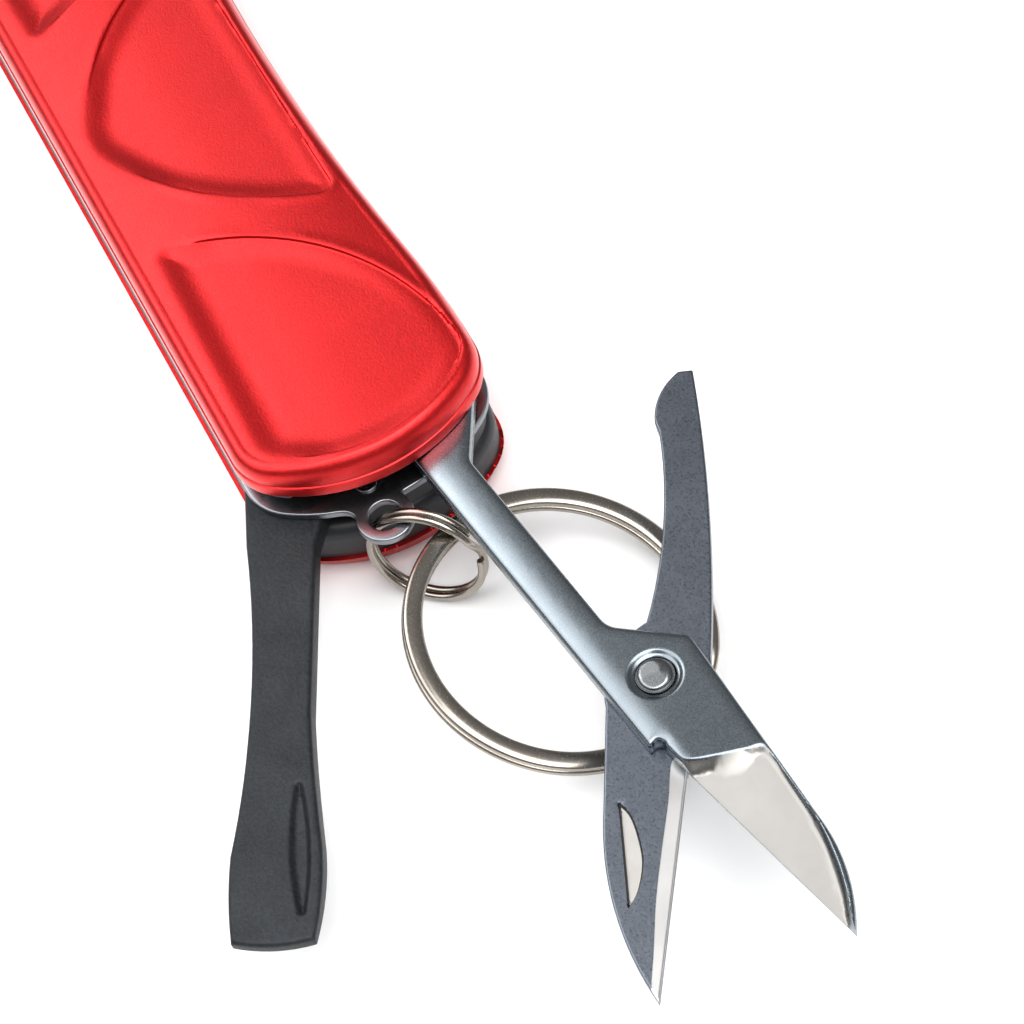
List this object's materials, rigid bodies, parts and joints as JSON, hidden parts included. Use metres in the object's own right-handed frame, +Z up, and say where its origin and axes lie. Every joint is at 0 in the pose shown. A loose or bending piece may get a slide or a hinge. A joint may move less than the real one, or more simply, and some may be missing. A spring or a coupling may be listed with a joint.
{
  "type": "multi tool",
  "caption": "Pocket multi tool with a waisted red two-scale handle, folding scissors, flat driver and knife blade, and a split key ring on a liner lug.",
  "frame": {"origin": "centre of the rear scale's flat resting side", "axes": "+X along the handle to the scissors end, +Z up through the tool stack to the front scale, +Y to the side from which the scissors and knife open"},
  "size_m": [0.1352, 0.0522, 0.0151],
  "materials": {
    "red_anodised": "satin anodised metal with a fine grain",
    "black_core": "satin moulded",
    "liner_steel": "satin",
    "spring_steel": "satin",
    "pin_steel": "polished",
    "scissors_steel": "satin, ground blade",
    "dark_steel": "dark tumbled",
    "blasted_steel": "bead blasted dark grey",
    "nickel_ring": "nickel plated"
  },
  "bodies": {
    "handle": {"front_scale": "red_anodised", "rear_scale": "red_anodised", "front_insert": "black_core", "rear_insert": "black_core", "mid_liner": "liner_steel", "lower_end_spacer": "black_core", "lower_back_spacer": "black_core", "upper_spacer": "black_core", "centre_spring": "spring_steel", "upper_spring": "spring_steel", "spring_block": "black_core", "scissors_pin": "pin_steel", "driver_pin": "pin_steel", "knife_pin": "pin_steel", "body_rivets": "pin_steel", "spring_rivets": "pin_steel", "centre_rivet": "pin_steel", "liner_rivet": "pin_steel", "knife_washer": "pin_steel"},
    "scissors": {"scissors_fixed_half": "scissors_steel", "tang_collar": "scissors_steel", "scissors_rivet": "pin_steel"},
    "lever": {"scissors_lever": "dark_steel"},
    "driver": {"flat_driver": "blasted_steel"},
    "knife": {"knife_blade": "scissors_steel"},
    "small_ring": {"small_ring": "nickel_ring"},
    "key_ring": {"key_ring": "nickel_ring"}
  },
  "joints": [
    {"name": "scissors_fold", "type": "hinge", "parent": "handle", "child": "scissors", "pos_m": [0.0365, 0.0048, 0.0104], "axis": [0, 0, 1], "range_deg": [0, 180]},
    {"name": "lever_close", "type": "hinge", "parent": "scissors", "child": "lever", "pos_m": [0.0682, 0.0087, 0.0096], "axis": [0, 0, 1], "range_deg": [0, 33]},
    {"name": "driver_fold", "type": "hinge", "parent": "handle", "child": "driver", "pos_m": [0.0335, -0.0062, 0.007], "axis": [0, 0, 1], "range_deg": [-152, 15]},
    {"name": "knife_open", "type": "hinge", "parent": "handle", "child": "knife", "pos_m": [-0.036, 0.005, 0.007], "axis": [0, 0, 1], "range_deg": [0, 178]},
    {"name": "small_ring_swing", "type": "hinge", "parent": "handle", "child": "small_ring", "pos_m": [0.0431, -0.0021, 0.00855], "axis": [0, 0, 1], "range_deg": [-2, 10]},
    {"name": "key_ring_lift", "type": "hinge", "parent": "small_ring", "child": "key_ring", "pos_m": [0.04574, -0.00047, 0.00506], "axis": [0.7318, -0.6568, 0.182], "range_deg": [0, 13]}
  ]
}
